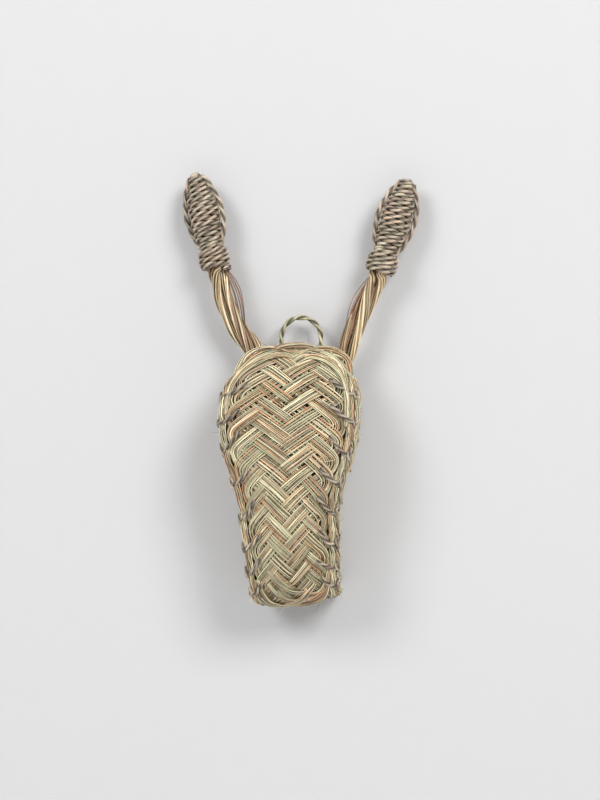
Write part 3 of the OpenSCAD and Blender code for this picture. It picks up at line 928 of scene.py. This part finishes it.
def stalk_lashings():
    bend, root_y, back_y, root_x = 14.05, -24, -2.6, 34
    for side in (LEFT, RIGHT):
        for k, z in enumerate((-75, -85)):
            a = np.linspace(0, np.pi, 24)
            arch = np.stack([bend * np.cos(a), root_y - bend * np.sin(a)], -1)
            flat = np.concatenate([[(bend, back_y)], [(bend, root_y + 8)], arch,
                                   [(-bend, root_y + 8)], [(-bend, back_y)], [(bend, back_y)]])
            points = np.column_stack([side * root_x + flat[:, 0], flat[:, 1],
                                      z + np.linspace(-1.5, 1.5, len(flat))])
            make_cord(f"{SIDE_NAMES[side]}_lashing_{k + 1}", along_curve(points, 110)[0],
                      (0, 0, 1), 1.7, STITCH_TONES, CORD, "head",
                      f"{SIDE_NAMES[side]}_stalk_lashing", 960 + 4 * side + k)


front_stitches()
other_stitches()
collar_knot()
stalk_lashings()


# ---- Loose ends: hairs of grass and cord that stand out a little ----

def hairs(name, roots, ways, lengths, thick, palette, material, node, seed):
    """Thin curved fibres from their roots, each first along its way and then curling off."""
    rng = np.random.default_rng(seed)
    count, steps = len(roots), 14
    reach = np.linspace(0, 1, steps)[None, :, None] * np.asarray(lengths)[:, None, None]
    curl = unit(rng.normal(size=(count, 1, 3)))
    swirl = unit(rng.normal(size=(count, 1, 3)))
    lines = (np.asarray(roots)[:, None] + unit(np.asarray(ways))[:, None] * reach
             + curl * reach ** 2 * 0.022 + swirl * np.sin(reach * 0.35) * 0.6)
    lines[..., 1] = np.minimum(lines[..., 1], -0.6)
    taper = np.linspace(1, 0.45, steps)[None, :, None]
    radius = thick * rng.uniform(0.7, 1.3, (count, 1, 1)) * taper
    # Painted shade: the hairs are painted a little darker at their sides and below, and lighter
    # along their tops.
    make_tubes(name, lines, np.array([0.1, -1, 0.2]), radius, radius,
               pick_tones(palette, (count, 1), rng), material, "head", node, sides=5,
               seed=seed, painted_side_shade=0.6)


def loose_ends():
    rng = np.random.default_rng(50)
    count = 46
    u = rng.uniform(-1, 1, count)
    s = rng.uniform(1.2, 10, count)
    roots = on_face(u, s, 0.6)
    out = on_face(u, s, -0.4) - roots
    ways = 0.35 * out + unit(rng.normal(size=(count, 3)))
    ways[:, 1] = -np.abs(ways[:, 1]) * 0.3
    hairs("face_hairs", roots, ways, rng.uniform(5, 14, count), 0.24, PLAIT_TONES, PLAIT,
          "face_plait", 51)
    count = 30
    u = rng.uniform(-1, 1, count)
    roots = crown_line(u, -4.0)
    ways = np.stack([rng.normal(0, 0.8, count) + u, rng.normal(-0.2, 0.3, count),
                     rng.uniform(0.1, 0.9, count)], -1)
    hairs("crown_hairs", roots, ways, rng.uniform(5, 16, count), 0.24, BROWN_TONES, PLAIT,
          "crown_roll", 52)
    for side in (LEFT, RIGHT):
        who = SIDE_NAMES[side]
        count = 26
        s = rng.uniform(3.2, 9.6, count)
        roots = on_cheek(side, s, rng.uniform(0, 0.3, count), 0.4)
        ways = np.stack([side * rng.uniform(0.2, 0.9, count), rng.normal(0, 0.4, count),
                         rng.normal(-0.4, 0.7, count)], -1)
        hairs(f"{who}_cheek_hairs", roots, ways, rng.uniform(3, 9, count), 0.24, PLAIT_TONES,
              PLAIT, f"{who}_cheek_plait", 53 + side)
        count = 40
        q = rng.uniform(0, 1, count)
        a = rng.uniform(0, 2 * np.pi, count)
        radial = np.stack([np.cos(a), np.sin(a), np.zeros(count)], -1)
        local = radial * (wind_out(q) + 0.2)[:, None]
        local[:, 2] = WIND_START + WIND_L * q
        roots = TIP_FOOT[side] + tip_place(side, local)
        ways = tip_place(side, radial + rng.normal(0, 0.8, (count, 3)))
        hairs(f"{who}_tip_hairs", roots, ways, rng.uniform(1.5, 4.5, count), 0.17, TIP_TONES,
              TIP, f"{who}_tip_winding", 56 + side)


def slack_strands():
    """Brown blades that have come loose on the inner side of each stalk, below its collar."""
    starts = {LEFT: ((-72, -24, 48), (-60, -26, 22), (-55, -25, -14)),
              RIGHT: ((67, -24, 40), (52, -26, 17), (46, -25, -12))}
    for side in (LEFT, RIGHT):
        rng = np.random.default_rng(70 + side)
        top, bow_out, foot = (np.array(point, float) for point in starts[side])
        inward = np.array([-side, 0, 0.35])
        lines = []
        for k in range(6):
            slack = rng.uniform(-5, 1.8)
            line = [top - inward * 5 + [0, rng.normal(0, 1), 4], top + inward * slack * 0.5,
                    bow_out + inward * slack + [0, rng.normal(0, 1.5), rng.normal(0, 3)],
                    foot + inward * slack * 0.4 + [0, 0, rng.normal(0, 4)],
                    foot - inward * 5 + [0, 2, -10]]
            lines.append(along_curve(line, 40)[0])
        radius = 0.45 * rng.uniform(0.6, 1.3, (6, 1, 1))
        # Painted shade: the slack blades are painted darker at their sides and below, and lighter
        # along their tops.
        make_tubes(f"{SIDE_NAMES[side]}_stalk_slack", np.array(lines), np.array([0, -1, 0]),
                   radius, radius, pick_tones(BROWN_TONES, (6, 1), rng), STALK,
                   "head", f"{SIDE_NAMES[side]}_stalk_ply_1", seed=72 + side, painted_side_shade=0.4)


loose_ends()
slack_strands()


# ---- Hanging loop ----

LOOP_R, LOOP_HALF_W, EYE_R = 2.25, 19.75, 6.55


def hanging_loop():
    arch_z = LOOP_R - LOOP_HALF_W
    a = np.linspace(0, 1.75 * np.pi, 26)
    eye = np.stack([np.linspace(3.6, 0, 26), EYE_R * np.cos(a + 1.25 * np.pi),
                    EYE_R * np.sin(a + 1.25 * np.pi)], -1)[:-2]
    start = np.array([LOOP_HALF_W, HEM_Y, HEM_Z]) + eye * [-1, 1, 1]
    leg = np.array([(LOOP_HALF_W, HEM_Y, z) for z in (-31, -27, -22)])
    b = np.linspace(0, np.pi, 30)
    arch = np.stack([LOOP_HALF_W * np.cos(b), np.full(30, HEM_Y),
                     arch_z + LOOP_HALF_W * np.sin(b)], -1)
    half = np.concatenate([start, leg])
    points = np.concatenate([half, arch, (half * [-1, 1, 1])[::-1]])
    make_cord("hanging_loop_cord", along_curve(points, 260)[0], (0, -1, 0.01), 1.12 * LOOP_R,
              LOOP_TONES, LOOP, "loop", "hanging_loop", 990, lay=26)


hanging_loop()


# ---- Stage and light ----

def plain_material(name, colour, roughness):
    material = bpy.data.materials.new(name)
    material.use_nodes = True
    shader = material.node_tree.nodes["Principled BSDF"]
    shader.inputs["Base Color"].default_value = (*colour, 1)
    shader.inputs["Roughness"].default_value = roughness
    return material


def see_through_from_behind(material):
    """Makes it clear from behind, so that the head's back can be looked at."""
    nodes, links = material.node_tree.nodes, material.node_tree.links
    shader, output = nodes["Principled BSDF"], nodes["Material Output"]
    mix = nodes.new("ShaderNodeMixShader")
    clear = nodes.new("ShaderNodeBsdfTransparent")
    geometry = nodes.new("ShaderNodeNewGeometry")
    links.new(geometry.outputs["Backfacing"], mix.inputs["Fac"])
    links.new(shader.outputs["BSDF"], mix.inputs[1])
    links.new(clear.outputs["BSDF"], mix.inputs[2])
    links.new(mix.outputs["Shader"], output.inputs["Surface"])


def make_stage():
    wall_material = plain_material("wall", (0.565, 0.565, 0.57), 0.9)
    see_through_from_behind(wall_material)
    floor_material = plain_material("floor", (0.7, 0.7, 0.7), 0.9)
    bpy.ops.mesh.primitive_plane_add(size=8, location=(0, 0.0015, 0),
                                     rotation=(math.radians(90), 0, 0))
    wall = bpy.context.object
    wall.name = "wall"
    wall.data.materials.append(wall_material)
    wall.visible_shadow = False    # the light behind reaches the head's back
    bpy.ops.mesh.primitive_plane_add(size=12, location=(0, 0, -1.5))
    floor = bpy.context.object
    floor.name = "floor"
    floor.data.materials.append(floor_material)


def area_light(name, place, target, size, power):
    data = bpy.data.lights.new(name, "AREA")
    data.shape = "DISK"
    data.size = size
    data.energy = power
    light = bpy.data.objects.new(name, data)
    light.location = place
    aim = Vector(target) - Vector(place)
    light.rotation_euler = aim.to_track_quat("-Z", "Y").to_euler()
    bpy.context.scene.collection.objects.link(light)


def make_light():
    """Two soft boxes in front of the wall, one behind it for the back, and an even sky."""
    world = bpy.data.worlds.new("studio")
    world.use_nodes = True
    world.node_tree.nodes["Background"].inputs["Color"].default_value = (1, 1, 1, 1)
    world.node_tree.nodes["Background"].inputs["Strength"].default_value = 0.5
    bpy.context.scene.world = world
    aim = (0, 0, -0.1)
    area_light("upper_right", (2.4, -3.2, 2.3), aim, 2.0, 150)
    area_light("upper_left", (-2.2, -3.2, 2.2), aim, 2.0, 96)
    area_light("behind", (0.6, 2.6, 0.8), aim, 1.6, 26)


make_stage()
make_light()
bpy.context.scene.view_settings.view_transform = "Standard"
